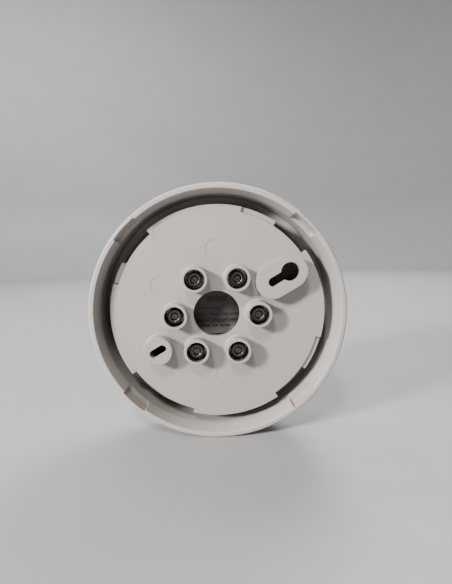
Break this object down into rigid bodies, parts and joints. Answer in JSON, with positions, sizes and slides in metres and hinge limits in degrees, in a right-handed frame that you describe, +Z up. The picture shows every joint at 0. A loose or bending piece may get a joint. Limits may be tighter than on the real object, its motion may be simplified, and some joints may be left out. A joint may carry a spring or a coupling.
{
  "type": "heat detector",
  "caption": "Point-type heat detector head with open sensor cage, twist-locked onto a round mounting base with screw terminals, keyhole and slot fixings.",
  "frame": {"origin": "centre of the plane on which the eight base bosses end, where the mounting surface is", "axes": "+Y along the detector's axis towards the mounting surface, the sensor cage at -Y; +Z up as the detector stands on its rim; seen from behind, -X is to the right"},
  "size_m": [0.1, 0.046, 0.1],
  "materials": {
    "shell": "fine satin ABS",
    "base_moulding": "satin ABS",
    "plated_strip": "nickel-plated spring strip",
    "bush_metal": "turned, dull nickel plate",
    "zinc_steel": "zinc-plated steel",
    "label": "silver-grey polyester label",
    "board": "green solder mask",
    "dark_component": "moulded epoxy",
    "capacitor_can": "aluminium can",
    "holder_moulding": "satin ABS",
    "thermistor_glass": "dipped bead",
    "led_body": "moulded LED",
    "light_pipe": "red-tinted clear acrylic"
  },
  "bodies": {
    "base": {"base_plate": "base_moulding", "contact_strip_1": "plated_strip", "contact_strip_2": "plated_strip", "contact_strip_3": "plated_strip", "contact_strip_4": "plated_strip", "contact_strip_5": "plated_strip", "contact_strip_6": "plated_strip", "terminal_bush_1": "bush_metal", "terminal_bush_2": "bush_metal", "terminal_bush_3": "bush_metal", "terminal_bush_4": "bush_metal", "terminal_bush_5": "bush_metal", "terminal_bush_6": "bush_metal"},
    "washer_1": {"clamp_washer_1": "zinc_steel"},
    "screw_1": {"terminal_screw_1": "zinc_steel"},
    "washer_2": {"clamp_washer_2": "zinc_steel"},
    "screw_2": {"terminal_screw_2": "zinc_steel"},
    "washer_3": {"clamp_washer_3": "zinc_steel"},
    "screw_3": {"terminal_screw_3": "zinc_steel"},
    "washer_4": {"clamp_washer_4": "zinc_steel"},
    "screw_4": {"terminal_screw_4": "zinc_steel"},
    "washer_5": {"clamp_washer_5": "zinc_steel"},
    "screw_5": {"terminal_screw_5": "zinc_steel"},
    "washer_6": {"clamp_washer_6": "zinc_steel"},
    "screw_6": {"terminal_screw_6": "zinc_steel"},
    "head": {"housing": "shell", "sensor_cage": "shell", "rear_carrier": "base_moulding", "rating_label": "label", "carrier_screws": "zinc_steel", "contact_blade_1": "plated_strip", "contact_blade_2": "plated_strip", "contact_blade_3": "plated_strip", "contact_blade_4": "plated_strip", "contact_blade_5": "plated_strip", "contact_blade_6": "plated_strip", "circuit_board": "board", "board_screws": "zinc_steel", "microcontroller": "dark_component", "storage_capacitor": "capacitor_can", "board_components": "dark_component", "thermistor_holder": "holder_moulding", "sensing_thermistor": "thermistor_glass", "reference_thermistor": "thermistor_glass", "status_led_1": "led_body", "status_led_2": "led_body", "light_pipe_1": "light_pipe", "light_pipe_2": "light_pipe"}
  },
  "joints": [
    {"name": "head_twist", "type": "hinge", "parent": "base", "child": "head", "pos_m": [0, 0, 0], "axis": [0, -1, 0], "range_deg": [0, 20.5]},
    {"name": "washer_1_slide", "type": "slide", "parent": "base", "child": "washer_1", "axis": [0, -1, 0], "range_m": [0, 0.0015]},
    {"name": "screw_1_turn", "type": "hinge", "parent": "washer_1", "child": "screw_1", "pos_m": [-0.0164, -0.0092, 0], "axis": [0, -1, 0], "range_deg": [0, 1082]},
    {"name": "washer_2_slide", "type": "slide", "parent": "base", "child": "washer_2", "axis": [0, -1, 0], "range_m": [0, 0.0015]},
    {"name": "screw_2_turn", "type": "hinge", "parent": "washer_2", "child": "screw_2", "pos_m": [-0.0082, -0.0092, 0.0142], "axis": [0, -1, 0], "range_deg": [0, 1082]},
    {"name": "washer_3_slide", "type": "slide", "parent": "base", "child": "washer_3", "axis": [0, -1, 0], "range_m": [0, 0.0015]},
    {"name": "screw_3_turn", "type": "hinge", "parent": "washer_3", "child": "screw_3", "pos_m": [0.0082, -0.0092, 0.0142], "axis": [0, -1, 0], "range_deg": [0, 1082]},
    {"name": "washer_4_slide", "type": "slide", "parent": "base", "child": "washer_4", "axis": [0, -1, 0], "range_m": [0, 0.0015]},
    {"name": "screw_4_turn", "type": "hinge", "parent": "washer_4", "child": "screw_4", "pos_m": [0.0164, -0.0092, 0], "axis": [0, -1, 0], "range_deg": [0, 1082]},
    {"name": "washer_5_slide", "type": "slide", "parent": "base", "child": "washer_5", "axis": [0, -1, 0], "range_m": [0, 0.0015]},
    {"name": "screw_5_turn", "type": "hinge", "parent": "washer_5", "child": "screw_5", "pos_m": [0.0082, -0.0092, -0.0142], "axis": [0, -1, 0], "range_deg": [0, 1082]},
    {"name": "washer_6_slide", "type": "slide", "parent": "base", "child": "washer_6", "axis": [0, -1, 0], "range_m": [0, 0.0015]},
    {"name": "screw_6_turn", "type": "hinge", "parent": "washer_6", "child": "screw_6", "pos_m": [-0.0082, -0.0092, -0.0142], "axis": [0, -1, 0], "range_deg": [0, 1082]}
  ],
  "couplings": [
    {"joint": "screw_1_turn", "follows": "washer_1_slide", "rad_per_m": 12566},
    {"joint": "screw_2_turn", "follows": "washer_2_slide", "rad_per_m": 12566},
    {"joint": "screw_3_turn", "follows": "washer_3_slide", "rad_per_m": 12566},
    {"joint": "screw_4_turn", "follows": "washer_4_slide", "rad_per_m": 12566},
    {"joint": "screw_5_turn", "follows": "washer_5_slide", "rad_per_m": 12566},
    {"joint": "screw_6_turn", "follows": "washer_6_slide", "rad_per_m": 12566}
  ]
}
